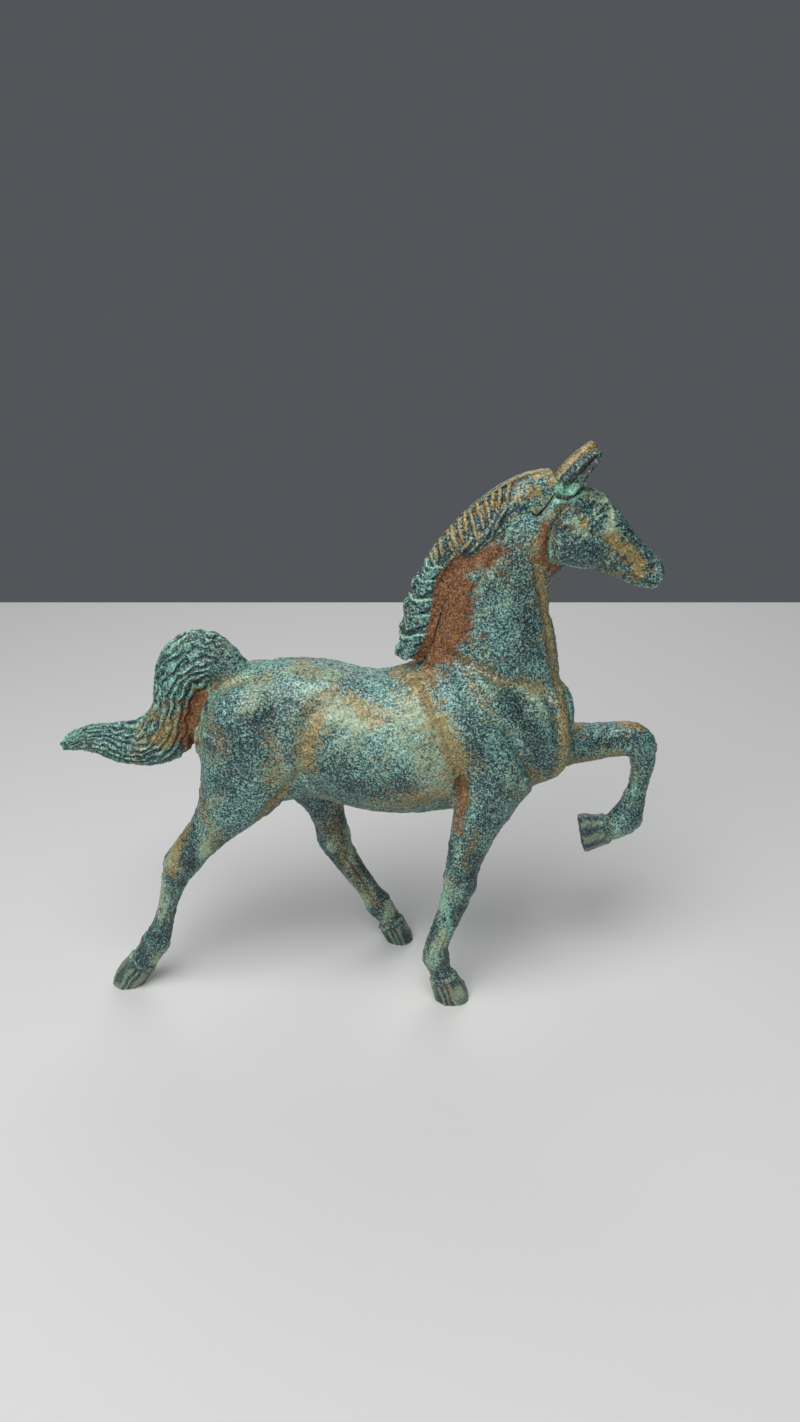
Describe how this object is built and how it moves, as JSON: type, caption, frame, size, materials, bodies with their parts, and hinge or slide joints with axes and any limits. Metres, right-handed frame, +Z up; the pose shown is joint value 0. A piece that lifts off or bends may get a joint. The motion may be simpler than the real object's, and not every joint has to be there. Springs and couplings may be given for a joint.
{
  "type": "horse figurine",
  "caption": "Small patinated bronze horse at a high-stepping trot, built as sectional castings on hidden dowels, standing on three hooves with its left foreleg raised.",
  "frame": {"origin": "middle of the horse's box, on the ground plane under its three standing hooves", "axes": "+X forward along the horse, from tail to chest; +Y towards the horse's left side; +Z up"},
  "size_m": [0.1184, 0.026, 0.1105],
  "materials": {
    "verdigris_bronze": "dark blue-black bronze under a speckled turquoise verdigris, with ochre in the hollows, rust brown in the creases and pale green on the edges",
    "bare_bronze": "plain drawn bronze rod, dull"
  },
  "bodies": {
    "root": {"torso": "verdigris_bronze", "neck": "verdigris_bronze", "head": "verdigris_bronze", "left_ear": "verdigris_bronze", "right_ear": "verdigris_bronze", "mane": "verdigris_bronze", "tail": "verdigris_bronze", "right_foreleg": "verdigris_bronze", "left_foreleg": "verdigris_bronze", "right_hindleg": "verdigris_bronze", "left_hindleg": "verdigris_bronze", "neck_dowel": "bare_bronze", "head_dowel": "bare_bronze", "tail_dowel": "bare_bronze", "right_foreleg_dowel": "bare_bronze", "left_foreleg_dowel": "bare_bronze", "right_hindleg_dowel": "bare_bronze", "left_hindleg_dowel": "bare_bronze"}
  },
  "joints": []
}
